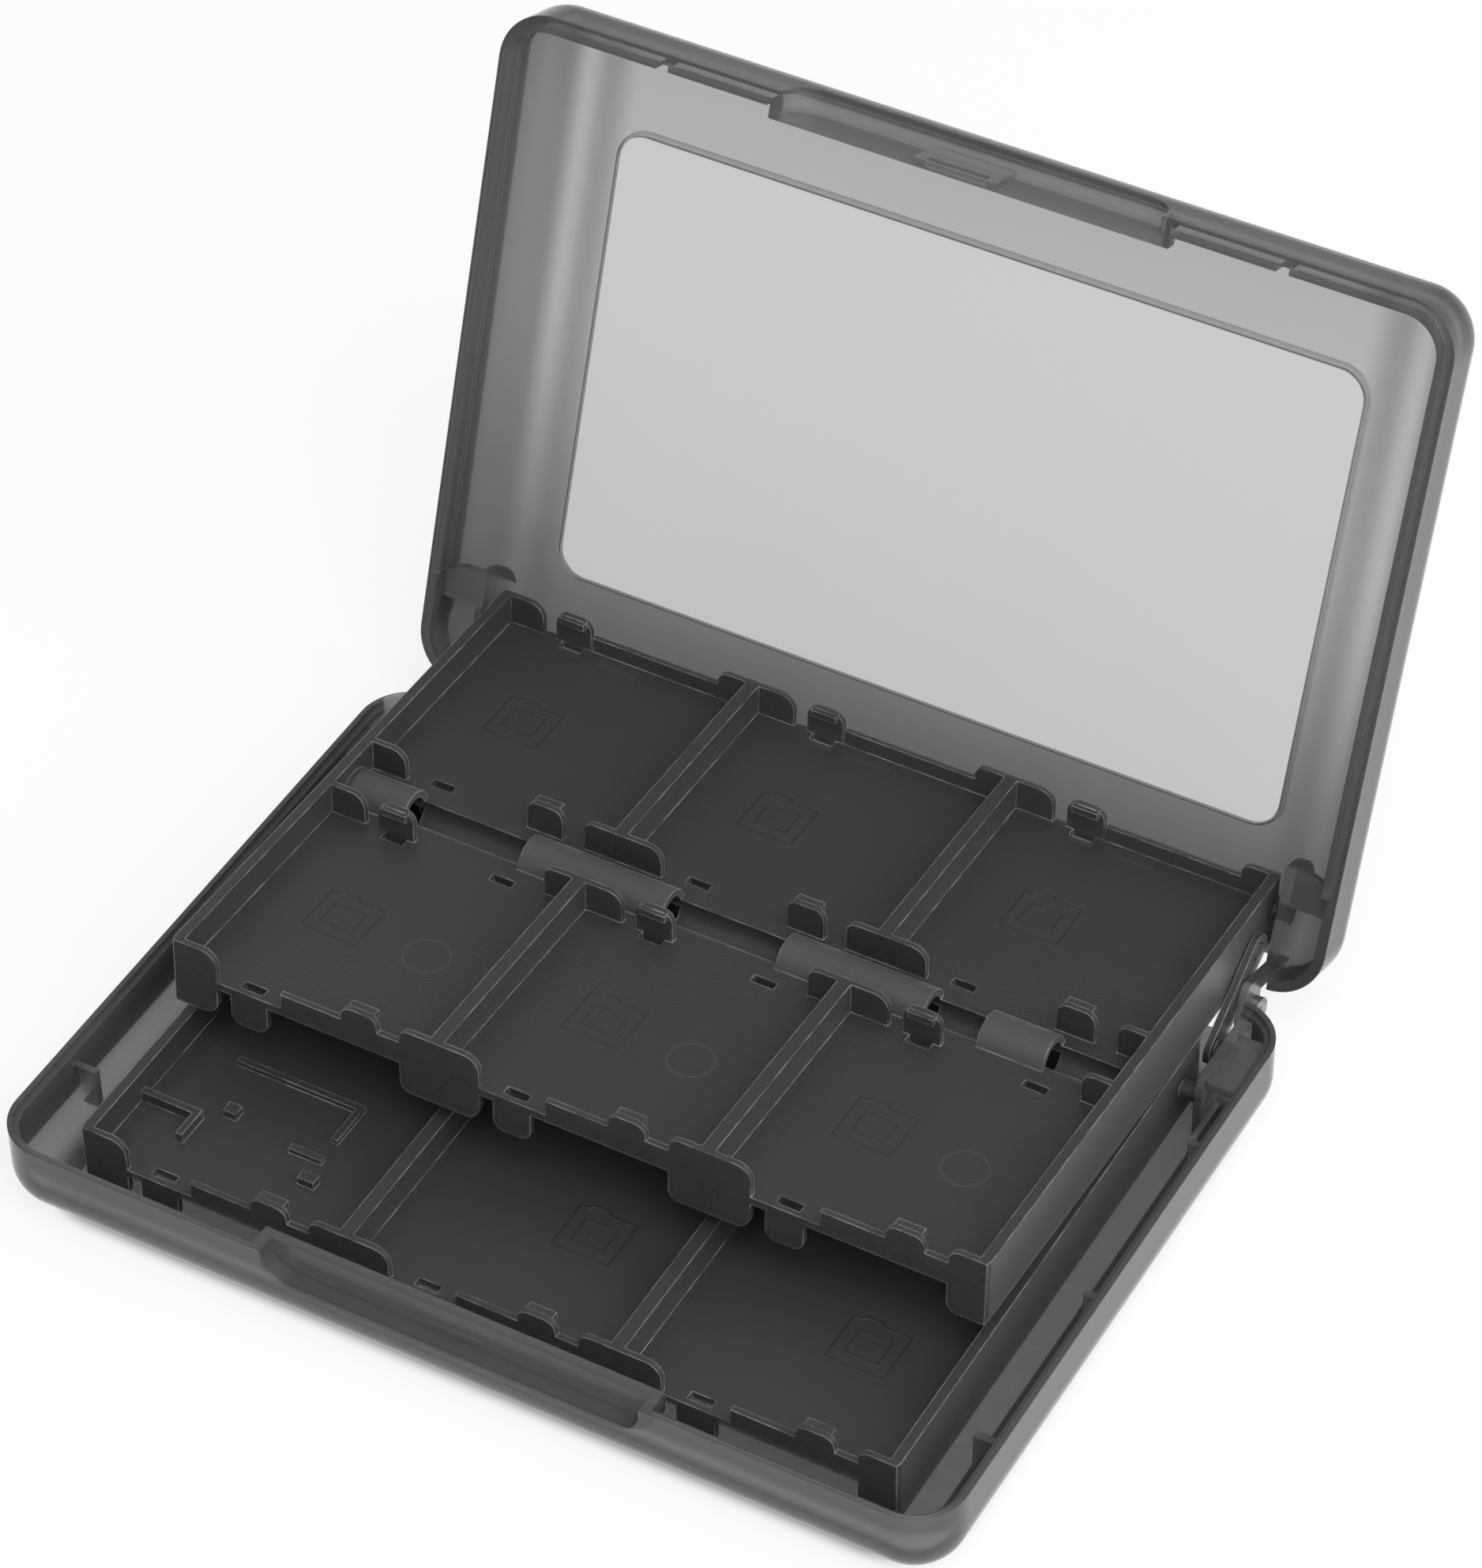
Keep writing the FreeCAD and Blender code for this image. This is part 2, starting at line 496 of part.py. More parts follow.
def make_lid():
    """The upper shell, drawn mouth up like the lower one, with the hinge side to the rear."""
    body = shell("lid_shell", "lid_height")
    inset = "(lip_width + lip_gap)"
    reach = "(lip_width + lip_gap + lip_thick)"
    sketch = new_sketch(body, "lid_lip_plan", "XY_Plane", "lid_height - lip_root")
    for step in (inset, reach):
        outline(sketch, rounded("(case_width / 2 - %s)" % step, "(case_depth / 2 - %s)" % step),
                {i: "corner_radius - " + step for i in range(4)})
    pad(body, sketch, "lid_lip", "lip_root + lip_height - lip_gap")
    lip_breaks(body, "lid_lip_top", "0", "lip_height", True)
    lip_breaks(body, "lid_lip_root", "wall", "lip_root", False)
    finger_recess(body, "lid", "lid_height")
    rear_opening(body, "lid", "lid_height", "lid_sill")
    for side in (-1, 1):
        lid_plate(body, side)
        tag = "lid_shelf_right" if side > 0 else "lid_shelf_left"
        corner_shelf(body, tag, side, "lid_height", LID_PLATE_IN, "lid_shelf_front", "lid_shelf_length",
                     "lid_shelf_arch")
    sketch = new_sketch(body, "window_plan", "XY_Plane", "wall")
    outline(sketch, rounded("(window_width / 2)", "(window_height / 2)"),
            {i: "window_radius" for i in range(4)})
    pocket(body, sketch, "window_opening", "wall")
    sketch = new_sketch(body, "window_rebate_plan", "XY_Plane", "wall / 2")
    outline(sketch, rounded("(window_width / 2 + window_flange)", "(window_height / 2 + window_flange)"),
            {i: "window_radius + window_flange" for i in range(4)})
    pocket(body, sketch, "window_rebate", "wall / 2")
    face = "-case_depth / 2 + recess_depth - catch_depth - tongue_gap - tongue_thick"
    primitive(body, "AdditiveBox", "latch_tongue", ("-tongue_width / 2", face, "lid_height - tongue_length / 2"),
              Length="tongue_width", Width="tongue_thick", Height="1.5 * tongue_length")
    primitive(body, "AdditiveBox", "latch_root", ("-tongue_width / 2", face, "lid_height - tongue_length / 2"),
              Length="tongue_width", Width="tongue_thick + tongue_gap + catch_depth + wall / 2",
              Height="tongue_length / 2")
    slot = "catch_width / 2 + 3 * tongue_gap"
    primitive(body, "SubtractiveBox", "latch_slot",
              ("-(%s)" % slot, face + " - tongue_gap",
               "lid_height + tongue_length - 2 * catch_height - tongue_gap"),
              Length="2 * (%s)" % slot, Width="tongue_thick + 2 * tongue_gap",
              Height="catch_height + 2 * tongue_gap")
    return body


def make_window():
    """Clear pane with a flange that seats in the rebate of the lid's outer face."""
    body = new_body("lid_window")
    grow = "(window_flange - window_gap)"
    sketch = new_sketch(body, "pane_flange_plan", "XY_Plane", "0")
    outline(sketch, rounded("(window_width / 2 + %s)" % grow, "(window_height / 2 + %s)" % grow),
            {i: "window_radius + " + grow for i in range(4)})
    pad(body, sketch, "pane_flange", "wall / 2")
    sketch = new_sketch(body, "pane_plan", "XY_Plane", "wall / 2")
    outline(sketch, rounded("(window_width / 2 - window_gap)", "(window_height / 2 - window_gap)"),
            {i: "window_radius - window_gap" for i in range(4)})
    pad(body, sketch, "pane", "wall / 2")
    return body


def tab_row(body, name, y, clip_side):
    """The upright tabs along one edge of a cell: corner tab, long tab and a spring tab with its overhang."""
    left = "(-1.5 * cell_pitch)"
    top = "(tray_height / 2)"
    clip = "(-cell_pitch %s clip_offset)" % ("+" if clip_side > 0 else "-")
    sketch = new_sketch(body, name + "_face", "XZ_Plane", "-(%s)" % y)
    outline(sketch, rectangle(left, "0", left + " + corner_tab", top), {2: "corner_tab * corner_round"})
    outline(sketch, rectangle(clip + " - clip_width / 2", "0", clip + " + clip_width / 2", top),
            {2: "clip_width * tab_round", 3: "clip_width * tab_round"})
    outline(sketch, rectangle("-cell_pitch / 2 - long_tab", "0", "-cell_pitch / 2", top),
            {3: "long_tab * tab_round"})
    tabs = pad(body, sketch, name, "tray_edge")
    inward = clip_side < 0
    face = "-(%s)" % y if not inward else "-(%s) + tray_edge / 2" % y
    sketch = new_sketch(body, name + "_head_face", "XZ_Plane", face)
    outline(sketch, rectangle(clip + " - clip_width * head_half", top + " - clip_head",
                              clip + " + clip_width * head_half", top + " - clip_head * head_drop"))
    heads = pad(body, sketch, name + "_heads", "tray_edge / 2 + clip_hook", reverse=not inward)
    return [tabs, heads]


def repeat_over_cells(body, name, kind="PartDesign::LinearPattern"):
    pattern = body.newObject(kind, name)
    for feature in body.Origin.OriginFeatures:
        if feature.Role == "X_Axis":
            pattern.Direction = (feature, [""])
    pattern.setExpression("Length", bind("2 * cell_pitch"))
    pattern.Occurrences = 3
    return pattern


# Where the stylus tube is open above, in shares of half the tray's width; elsewhere it is open below.
TROUGHS = ((-0.815, -0.515), (-0.15, 0.14), (0.5, 0.635), (0.795, 0.975))


def stylus_tube(body):
    """A tube along the middle of the tray, moulded as half shells that face up and down in turn."""
    half = "(tray_width / 2)"
    round_add(body, "tube", "-" + half + " + tray_wall / 2", half + " - tray_wall / 2", "0", "0", "tube_radius")
    round_cut(body, "tube_bore", "-" + half + " + tray_wall", half + " - tray_wall", "0", "0", "bore_radius")
    sketch = new_sketch(body, "tube_trough_plan", "XY_Plane", "tube_radius")
    for start, end in TROUGHS:
        outline(sketch, rectangle("%s * %s" % (start, half), "-tube_radius - web",
                                  "%s * %s" % (end, half), "tube_radius + web"))
    pocket(body, sketch, "tube_troughs", "tube_radius - web / 2")
    sketch = new_sketch(body, "tube_arch_plan", "XY_Plane", "-tube_radius")
    place = -0.975
    for start, end in TROUGHS:
        outline(sketch, rectangle("%s * %s" % (place, half), "-tube_radius - web",
                                  "%s * %s" % (start, half), "tube_radius + web"))
        place = end
    pocket(body, sketch, "tube_arches", "tube_radius - web / 2", reverse=True)


# Where the low walls start, in shares of the spring tabs' offset from the middle of a cell.
LOW_WALLS = (("up", ((-0.647, "rear"), (-0.412, "front"))), ("down", ((0.294, "rear"),)))


def make_card_tray():
    """A double-sided tray: three by two cells above and below a web, with tabs along each cell edge."""
    body = new_body("card_tray")
    half_x = "(tray_width / 2)"
    half_y = "(tray_length / 2)"
    sketch = new_sketch(body, "web_plan", "XY_Plane", "0")
    outline(sketch, rounded(half_x, half_y), {i: "tray_wall" for i in range(4)})
    pad(body, sketch, "web", "web", midplane=True)
    slot_edge = "(tray_length / 2 - tray_edge - slot_width / 2)"
    slot_inner = "(spine_half + tray_edge + slot_width / 2)"
    sketch = new_sketch(body, "slot_plan", "XY_Plane", "web")
    for y, signs in ((slot_edge, "-"), (slot_inner, "-+"), ("-" + slot_inner, "-+"), ("-" + slot_edge, "-")):
        for sign in signs:
            clip = "(-cell_pitch %s clip_offset)" % sign
            outline(sketch, rectangle(clip + " - slot_length / 2", y + " - slot_width / 2",
                                      clip + " + slot_length / 2", y + " + slot_width / 2"))
    slots = pocket(body, sketch, "slots", "2 * web")
    sketch = new_sketch(body, "thin_plan", "XY_Plane", "-web / 2")
    rear = "(tray_length / 2 - tray_edge)"
    outline(sketch, rectangle("-cell_pitch - low_wall * 2", rear + " - slot_width",
                              "-cell_pitch + low_wall", rear))
    thin = pocket(body, sketch, "thin_spots", "thin_spot", reverse=True)
    pattern = repeat_over_cells(body, "slots_of_cells")
    pattern.Originals = [slots, thin]
    body.Tip = pattern
    doc.recompute()
    stylus_tube(body)
    sketch = new_sketch(body, "wall_plan", "XY_Plane", "0")
    outline(sketch, rectangle("-" + half_x, "-" + half_y, "-" + half_x + " + tray_wall", half_y),
            {0: "tray_wall * plan_round", 3: "tray_wall * plan_round"})
    outline(sketch, rectangle(half_x + " - tray_wall", "-" + half_y, half_x, half_y),
            {1: "tray_wall * plan_round", 2: "tray_wall * plan_round"})
    for middle_x in ("(-cell_pitch / 2)", "(cell_pitch / 2)"):
        x0 = middle_x + " - divider / 2"
        x1 = middle_x + " + divider / 2"
        outline(sketch, rectangle(x0, "-" + half_y, x1, "-spine_half"))
        outline(sketch, rectangle(x0, "spine_half", x1, half_y))
    pad(body, sketch, "walls", "tray_height", midplane=True)
    front = "-" + half_y
    for tag, spans in LOW_WALLS:
        sketch = new_sketch(body, "edge_plan_" + tag, "XY_Plane", "0")
        for start, edge in spans:
            low = half_y + " - tray_edge" if edge == "rear" else front
            for cell in (-1, 0, 1):
                x0 = "(%d * cell_pitch + clip_offset * %.3f)" % (cell, start)
                x1 = "(%d * cell_pitch + cell_pitch / 2 - divider)" % cell
                outline(sketch, rectangle(x0, low, x1, low + " + tray_edge"))
        pad(body, sketch, "edges_" + tag, "web / 2 + low_wall", reverse=tag == "down")
    tabs = []
    for tag, y, clip_side in (("tabs_rear", "(tray_length / 2)", -1),
                              ("tabs_inner_rear", "(spine_half + tray_edge)", 1),
                              ("tabs_inner_front", "(-spine_half)", -1),
                              ("tabs_front", "(-tray_length / 2 + tray_edge)", 1)):
        tabs += tab_row(body, tag, y, clip_side)
    many = body.newObject("PartDesign::MultiTransform", "tabs_of_cells")
    many.Originals = tabs
    across = repeat_over_cells(body, "tabs_across")
    around = body.newObject("PartDesign::PolarPattern", "tabs_below")
    for feature in body.Origin.OriginFeatures:
        if feature.Role == "X_Axis":
            around.Axis = (feature, [""])
    around.Angle = 360
    around.Occurrences = 2
    many.Transformations = [across, around]
    body.Tip = many
    doc.recompute()
    return body


def peg(name, x0, x1, y, z, radius):
    """A plain peg along X, to be joined to a tray."""
    item = doc.addObject("Part::Cylinder", name)
    item.Placement = FreeCAD.Placement(FreeCAD.Vector(), FreeCAD.Rotation(FreeCAD.Vector(0, 1, 0), 90))
    for key, text in (("Radius", radius), ("Height", x1 + " - (" + x0 + ")"), ("Placement.Base.x", x0),
                      ("Placement.Base.y", y), ("Placement.Base.z", z)):
        item.setExpression(key, bind(text))
    return item


def ledge(name, x0, x1, y0, y1, height):
    """A low rib on the floor of a cell, to be joined to a tray."""
    item = doc.addObject("Part::Box", name)
    for key, text in (("Length", x1 + " - (" + x0 + ")"), ("Width", y1 + " - (" + y0 + ")"),
                      ("Height", height + " + web / 2"), ("Placement.Base.x", x0), ("Placement.Base.y", y0)):
        item.setExpression(key, bind(text))
    return item


def joined(name, tray, extras):
    item = doc.addObject("Part::MultiFuse", name)
    item.Label = name
    item.Shapes = [tray] + extras
    doc.recompute()
    return item


def make_upper_tray(tray):
    extras = []
    inside = "(tray_width / 2 - tray_wall)"
    for side in (-1, 1):
        tag = "right" if side > 0 else "left"
        x0, x1 = side_strip(side, inside, "(tray_width / 2)")
        extras.append(peg("lug_" + tag, x0, x1, TRAY_PEG_Y, "-tray_peg_drop", "lug_radius"))
        x0, x1 = side_strip(side, inside, LID_PLATE_OUT)
        extras.append(peg("lid_peg_" + tag, x0, x1, TRAY_PEG_Y, "-tray_peg_drop", "pin_radius"))
        x0, x1 = side_strip(side, inside, LINK_OUT)
        extras.append(peg("link_peg_" + tag, x0, x1, LINK_PEG_Y, "-link_peg_drop", "link_peg_radius"))
    return joined("upper_tray", tray, extras)


# Ribs round a memory card: name, from and to along the hinge, counted from the inside of the left
# wall, from and to across it, counted from the front edge, and height in rib heights.
CARD_RIBS = (
    ("card_step", 0, 9, 11.5, 12.6, 2),
    ("card_step_end", 8, 9, 7.5, 11.5, 2),
    ("card_rail", 7.5, 27, 23, 24, 1),
    ("card_rail_end", 26, 27, 17, 23, 1),
    ("card_stop", 22, 27, 12.8, 13.8, 1),
    ("card_knob", 11, 13, 14.2, 16, 1.5),
    ("card_catch", 26, 28.5, 8.6, 10.2, 1.5),
)


def make_lower_tray(tray):
    """The lower tray also has ribs for a memory card in its front left cell."""
    extras = []
    for side in (-1, 1):
        tag = "right" if side > 0 else "left"
        x0, x1 = side_strip(side, "(tray_width / 2 - tray_wall)", BASE_PLATE_OUT)
        extras.append(peg("base_peg_" + tag, x0, x1, LOWER_PEG_Y, "0", "pin_radius"))
    left = "(-tray_width / 2 + tray_wall + %s)"
    front = "(-tray_length / 2 + %s)"
    for name, x0, x1, y0, y1, height in CARD_RIBS:
        extras.append(ledge(name, left % x0, left % x1, front % y0, front % y1, "card_rib * %s" % height))
    return joined("lower_tray", tray, extras)


def make_link(name, side):
    """Swing link: a peg turns in the base plate, and a hole at the other end takes the tray's peg."""
    body = new_body(name)
    x0, x1 = side_strip(side, LINK_IN, LINK_OUT)
    sketch = new_sketch(body, name + "_face", "YZ_Plane", x0)
    nearly = "link_radius * end_round"
    outline(sketch, rectangle("-link_radius", "-link_radius", "link_length + link_radius", "link_radius"),
            {i: nearly for i in range(4)})
    pad(body, sketch, name + "_bar", "link_thick")
    peg0, peg1 = side_strip(side, LINK_IN, BASE_PLATE_OUT)
    round_add(body, name + "_peg", peg0, peg1, "0", "0", "pin_radius")
    round_cut(body, name + "_hole", x0 + " - side_gap", x1 + " + side_gap", "link_length", "0",
              "link_peg_radius + link_hole_gap")
    return body


base = make_base()
lid = make_lid()
window = make_window()
card_tray = make_card_tray()
upper_tray = make_upper_tray(card_tray)
lower_tray = make_lower_tray(card_tray)
links = [make_link("swing_link_left", -1), make_link("swing_link_right", 1)]

# The lid and its window are drawn mouth up, so they are first turned over about Y.
top = FreeCAD.Vector(0, 0, value(CASE_HEIGHT))
turned_over = FreeCAD.Placement(top, FreeCAD.Rotation(FreeCAD.Vector(0, 1, 0), 180))
to_hinge = placed(Spot(-hinge.y, -hinge.z), 0)
lid_open = placed(hinge, -value("open_angle")).multiply(to_hinge).multiply(turned_over)
lid.Placement = lid_open
window.Placement = lid_open
tray_centre = Spot(-tray_peg_shut.y, value("tray_peg_drop")).turned(Spot(0, 0), -value("tray_tilt"))
tray_spot = Spot(tray_peg_open.y + tray_centre.y, tray_peg_open.z + tray_centre.z)
upper_tray.Placement = placed(tray_spot, -value("tray_tilt"))
lower_tray.Placement = placed(Spot(0, value(LOWER_MIDDLE)), 0)
for link in links:
    link.Placement = placed(link_pivot, link_angle_open)
doc.recompute()

pieces = [base, lid, window, upper_tray, lower_tray] + links
for item in doc.Objects:
    if "Invalid" in item.State or "Error" in item.State:
        raise RuntimeError("%s failed: %s" % (item.Label, item.State))
for piece in pieces:
    if piece.Shape.isNull() or not piece.Shape.isValid():
        raise RuntimeError(piece.Label + " has no valid shape")

os.makedirs("parts", exist_ok=True)
for piece in pieces:
    piece.Shape.exportStep("parts/%s.step" % piece.Label)
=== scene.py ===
import math

import bmesh
import bpy
from mathutils import Matrix, Vector


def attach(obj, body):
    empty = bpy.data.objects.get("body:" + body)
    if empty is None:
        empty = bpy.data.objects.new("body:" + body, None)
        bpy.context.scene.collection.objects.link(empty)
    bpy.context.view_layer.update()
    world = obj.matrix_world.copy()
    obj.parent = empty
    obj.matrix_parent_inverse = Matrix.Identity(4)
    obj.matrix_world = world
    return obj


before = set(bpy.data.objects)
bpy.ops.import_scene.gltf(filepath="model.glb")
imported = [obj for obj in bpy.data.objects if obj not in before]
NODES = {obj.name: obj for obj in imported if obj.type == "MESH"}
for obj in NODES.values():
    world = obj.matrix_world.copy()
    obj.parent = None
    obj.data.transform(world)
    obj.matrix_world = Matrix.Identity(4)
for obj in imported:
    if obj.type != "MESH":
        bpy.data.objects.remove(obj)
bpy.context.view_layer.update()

MM = 0.001
WHITE = (1.0, 1.0, 1.0, 1.0)


# Materials


class Graph:
    """A short way to write the nodes of a material or of the world."""

    def __init__(self, owner, output="ShaderNodeOutputMaterial"):
        owner.use_nodes = True
        self.owner = owner
        self.tree = owner.node_tree
        self.tree.nodes.clear()
        self.output = self.add(output)

    def add(self, kind, settings=None, **inputs):
        node = self.tree.nodes.new(kind)
        for key, item in (settings or {}).items():
            setattr(node, key, item)
        for key, item in inputs.items():
            self.set(node, key.replace("_", " "), item)
        return node

    def set(self, node, socket, item):
        """Links an output to the socket, or sets the socket's value."""
        target = node.inputs[socket]
        if isinstance(item, bpy.types.NodeSocket):
            self.tree.links.new(item, target)
        else:
            target.default_value = item

    def finish(self, surface, volume=None):
        self.set(self.output, "Surface", surface)
        if volume:
            self.set(self.output, "Volume", volume)
        return self.owner

    def place(self):
        """The X, Y and Z of a point in its piece's own coordinates, which are the open case's."""
        spot = self.add("ShaderNodeTexCoord")
        return self.add("ShaderNodeSeparateXYZ", Vector=spot.outputs["Object"]).outputs

    def noise(self, scale, detail, rough=0.5):
        spot = self.add("ShaderNodeTexCoord")
        node = self.add("ShaderNodeTexNoise", Vector=spot.outputs["Object"], Scale=scale,
                        Detail=detail, Roughness=rough)
        return node.outputs["Fac"]

    def math(self, operation, *items):
        node = self.add("ShaderNodeMath", {"operation": operation})
        for socket, item in enumerate(items):
            self.set(node, socket, item)
        return node.outputs[0]

    def remap(self, item, start, end, low, high, kind="LINEAR"):
        node = self.add("ShaderNodeMapRange", {"interpolation_type": kind}, Value=item,
                        From_Min=start, From_Max=end, To_Min=low, To_Max=high)
        return node.outputs["Result"]

    def blend(self, share, first, second):
        """A colour from first to second."""
        node = self.add("ShaderNodeMix", {"data_type": "RGBA"}, Factor=share)
        self.set(node, 6, first)
        self.set(node, 7, second)
        return node.outputs[2]

    def mix(self, share, first, second):
        """A shader from first to second."""
        node = self.add("ShaderNodeMixShader")
        self.set(node, 0, share)
        self.set(node, 1, first)
        self.set(node, 2, second)
        return node.outputs[0]

    def inside(self, low, high):
        """1 in a box of the case's own coordinates, in millimetres, and 0 outside it."""
        axes = self.place()
        share = 1.0
        for axis, start, end in zip("XYZ", low, high):
            middle = (start + end) / 2 * MM
            half = (end - start) / 2 * MM
            share = self.math("MULTIPLY", share, self.math("COMPARE", axes[axis], middle, half))
        return share

    def seen(self, *rays):
        """1 for a ray of one of these kinds."""
        path = self.add("ShaderNodeLightPath")
        share = 0.0
        for ray in rays:
            share = self.math("MAXIMUM", share, path.outputs[ray])
        return share


def shade(colour, level):
    """The colour times a level, opaque."""
    return [min(1.0, part * level) for part in colour] + [1.0]


def new_material(name):
    return Graph(bpy.data.materials.new(name))


# Smoke-grey plastic: its skin, the smoke within it, painted highlights on its edges, and painted light and shade
# in places.
CLOUD_SCALE = 70.0
GRAIN_SCALE = 2600.0
WEAR_SCALE = 420.0
# Size of the patches of painted highlight on sharp edges.
HIGHLIGHT_PATCH_SCALE = 330.0
GRAIN_DEPTH = 0.04 * MM
SOFT_EDGE = 0.25 * MM
# Reach of the painted highlight on sharp edges.
HIGHLIGHT_EDGE = 0.3 * MM
SKIN_ROUGHNESS = (0.30, 0.46)
# How much lighter the painted highlight on the arch shells is.
PAINTED_LIGHT_LEVEL = 1.9
PASSED = (0.985, 0.985, 0.985, 1.0)
# Clear light let through where the most shade is painted.
PASSED_SHADED = (0.42, 0.42, 0.42, 1.0)
# Colour of the painted highlight on sharp edges.
EDGE_HIGHLIGHT_TONE = (0.45, 0.45, 0.45, 1.0)
FOG = (0.30, 0.30, 0.305, 1.0)


def edge_highlight_share(g, most):
    """How much of a sharp edge gets a painted highlight: most at the edge, in patches, and 0 away from it."""
    soft = g.add("ShaderNodeBevel", {"samples": 4}, Radius=HIGHLIGHT_EDGE)
    flat = g.add("ShaderNodeNewGeometry")
    likeness = g.add("ShaderNodeVectorMath", {"operation": "DOT_PRODUCT"})
    g.set(likeness, 0, soft.outputs["Normal"])
    g.set(likeness, 1, flat.outputs["Normal"])
    edge = g.remap(likeness.outputs["Value"], 0.72, 0.97, most, 0.0)
    patches = g.remap(g.noise(HIGHLIGHT_PATCH_SCALE, 2.0), 0.40, 0.62, 0.25, 1.0)
    return g.math("MULTIPLY", edge, patches)


def smoke_plastic(name, colour, clear, density, glow, grain, gloss_rough, painted_light_boxes=(), painted_shade=None, edge_highlight=0.0):
    """Smoke-grey moulded plastic. Clear light goes straight through, the rest meets a fine matt skin.

    clear is the share of clear light, density that of the smoke in the plastic, and glow the share
    of the skin that light shines through. thin holds boxes, low and high corners in millimetres,
    where the skin is painted lighter, a painted highlight. depth gives the share of clear light
    that a place lets through, which paints shade, and worn is how much painted highlight its sharp edges get.
    """
    g = new_material(name)
    tone = g.blend(g.noise(CLOUD_SCALE, 2.0), shade(colour, 0.9), shade(colour, 1.1))
    # Painted highlight: the skin is lighter inside the thin boxes.
    for low, high in painted_light_boxes:
        tone = g.blend(g.inside(low, high), tone, shade(colour, PAINTED_LIGHT_LEVEL))
    bump = g.add("ShaderNodeBump", Strength=grain, Distance=GRAIN_DEPTH,
                 Height=g.noise(GRAIN_SCALE, 2.0, 0.6))
    round_edge = g.add("ShaderNodeBevel", {"samples": 4}, Radius=SOFT_EDGE, Normal=bump.outputs["Normal"])
    normal = round_edge.outputs["Normal"]
    roughness = g.remap(g.noise(WEAR_SCALE, 4.0, 0.6), 0.0, 1.0, *SKIN_ROUGHNESS)
    skin = g.add("ShaderNodeBsdfPrincipled", IOR=1.5, Normal=normal, Base_Color=tone, Roughness=roughness)
    milk = g.add("ShaderNodeBsdfTranslucent", Color=tone)
    body = g.mix(glow, skin.outputs[0], milk.outputs[0])
    # Painted shade: depth lets less clear light through in places.
    passed = g.blend(painted_shade(g), PASSED_SHADED, PASSED) if painted_shade else PASSED
    through = g.add("ShaderNodeBsdfTransparent", Color=passed)
    plain = g.mix(1.0 - clear, through.outputs[0], body)
    # Painted highlight: sharp edges are lightened, in patches.
    if edge_highlight:
        edge_light = g.add("ShaderNodeBsdfDiffuse", Color=EDGE_HIGHLIGHT_TONE)
        plain = g.mix(edge_highlight_share(g, edge_highlight), plain, edge_light.outputs[0])
    gloss = g.add("ShaderNodeBsdfGlossy", Roughness=gloss_rough, Normal=normal, Color=WHITE)
    rim = g.add("ShaderNodeFresnel", IOR=1.35, Normal=normal)
    fog = g.add("ShaderNodeVolumeAbsorption", Density=density, Color=FOG)
    return g.finish(g.mix(rim.outputs["Fac"], plain, gloss.outputs[0]), fog.outputs[0])


# Painted shade on the lid across its width, with a painted reflection band: place from the window's side to the
# outside, and clear light.
LID_SHADE_BANDS = ((0.32, 0.62), (0.55, 1.0), (0.76, 0.38))
LID_BAND_START = 54.0 * MM
LID_BAND_END = 69.0 * MM
LID_RIM_SHADE = 0.42
# Painted shade up its height, darkest at the foot: from here to here it fades out.
LID_FOOT = 8.0 * MM
LID_UNSHADED = 62.0 * MM
LID_FOOT_SHADE = 0.18


def lid_painted_shade(g):
    """1 where no shade is painted, and less at the lid's rounded sides and toward the hinge: painted shade, with
    a painted reflection band.
    """
    axes = g.place()
    across = g.remap(g.math("ABSOLUTE", axes["X"]), LID_BAND_START, LID_BAND_END, 0.0, 1.0)
    bands = g.add("ShaderNodeValToRGB", Fac=across)
    bands.color_ramp.interpolation = "EASE"
    stops = bands.color_ramp.elements
    stops[0].color = WHITE
    stops[1].color = (LID_RIM_SHADE, LID_RIM_SHADE, LID_RIM_SHADE, 1.0)
    for position, level in LID_SHADE_BANDS:
        stops.new(position).color = (level, level, level, 1.0)
    up = g.remap(axes["Z"], LID_FOOT, LID_UNSHADED, LID_FOOT_SHADE, 1.0, "SMOOTHSTEP")
    return g.math("MULTIPLY", bands.outputs["Color"], up)


def clear_pane(name):
    """Clear glossy pane with faint moulding streaks."""
    g = new_material(name)
    roughness = g.remap(g.noise(60.0, 2.0), 0.0, 1.0, 0.04, 0.12)
    skin = g.add("ShaderNodeBsdfPrincipled", IOR=1.49, Base_Color=(0.55, 0.55, 0.56, 1.0), Roughness=roughness)
    through = g.add("ShaderNodeBsdfTransparent", Color=(0.80, 0.80, 0.805, 1.0))
    rim = g.add("ShaderNodeFresnel", IOR=1.3)
    block = g.math("MULTIPLY_ADD", rim.outputs["Fac"], 0.9, 0.06)
    return g.finish(g.mix(block, through.outputs[0], skin.outputs[0]))


def mark_plastic(name, colour, roughness):
    """The trays' plastic where the mould was cut by hand: a given tone, clouded, and a little rougher."""
    g = new_material(name)
    cloud = g.noise(900.0, 3.0)
    tone = g.blend(cloud, shade(colour, 0.8), shade(colour, 1.2))
    rough = g.remap(cloud, 0.0, 1.0, roughness - 0.06, roughness + 0.06)
    skin = g.add("ShaderNodeBsdfPrincipled", IOR=1.5, Base_Color=tone, Roughness=rough)
    return g.finish(skin.outputs[0])


def dress(material, *nodes):
    for node in nodes:
        data = NODES[node].data
        data.materials.clear()
        data.materials.append(material)


# The stylus tube's arches are slim shells in the upper tray's middle, painted lighter where light falls on them,
# a painted highlight: from and to along the hinge, and low and high corners across it.
ARCHES = ((-58.0, -49.0), (-31.0, -9.0), (8.4, 30.1), (38.2, 47.9))
LIT_ARCH_BOXES = [((start, 19.6, 19.4), (end, 26.7, 23.0)) for start, end in ARCHES]
BASE_GREY = (0.13, 0.13, 0.132)
LID_GREY = (0.19, 0.19, 0.192)
TRAY_GREY = (0.17, 0.17, 0.172)
